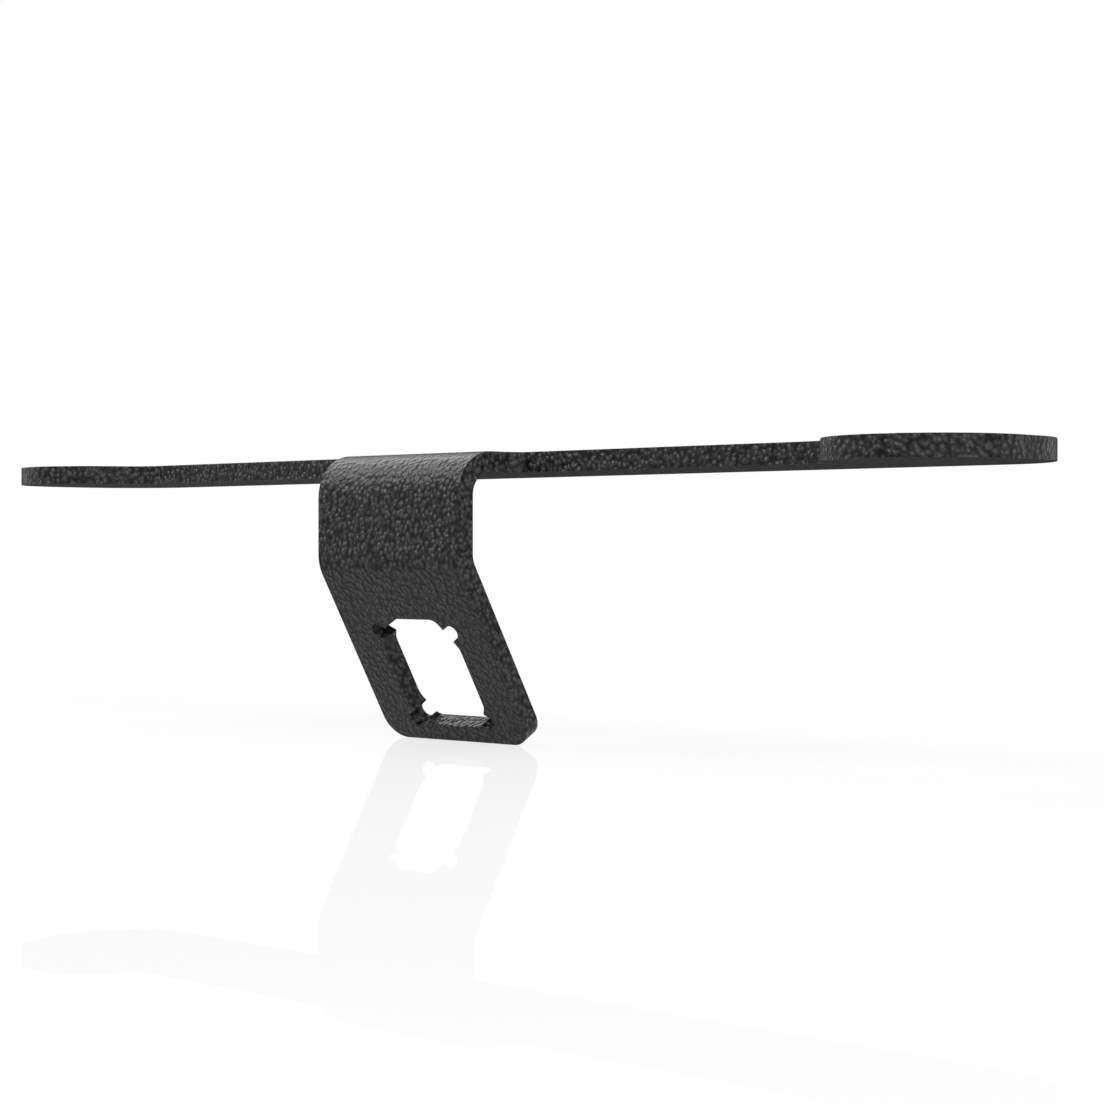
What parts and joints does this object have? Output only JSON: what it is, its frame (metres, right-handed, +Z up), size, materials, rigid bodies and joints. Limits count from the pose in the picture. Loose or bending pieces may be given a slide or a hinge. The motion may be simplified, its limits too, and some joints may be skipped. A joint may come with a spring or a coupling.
{
  "type": "camera relocation bracket",
  "caption": "Folded steel plate bracket with rounded end ears and a tab bent down at its front, cut out with a keyed, notched window that a small vehicle camera snaps into.",
  "frame": {"origin": "on the plate's flat top face, midway along the plate and midway across its straight strip", "axes": "+X along the plate, to the right seen from the front; +Y towards the plate's straight rear edge, away from the tab; +Z up, out of the plate's top face"},
  "size_m": [0.3206, 0.0521, 0.0691],
  "materials": {
    "black_coat": "near-black powder coat with a fine raised pebble texture, satin sheen"
  },
  "bodies": {
    "root": {"folded_bracket": "black_coat"}
  },
  "joints": []
}
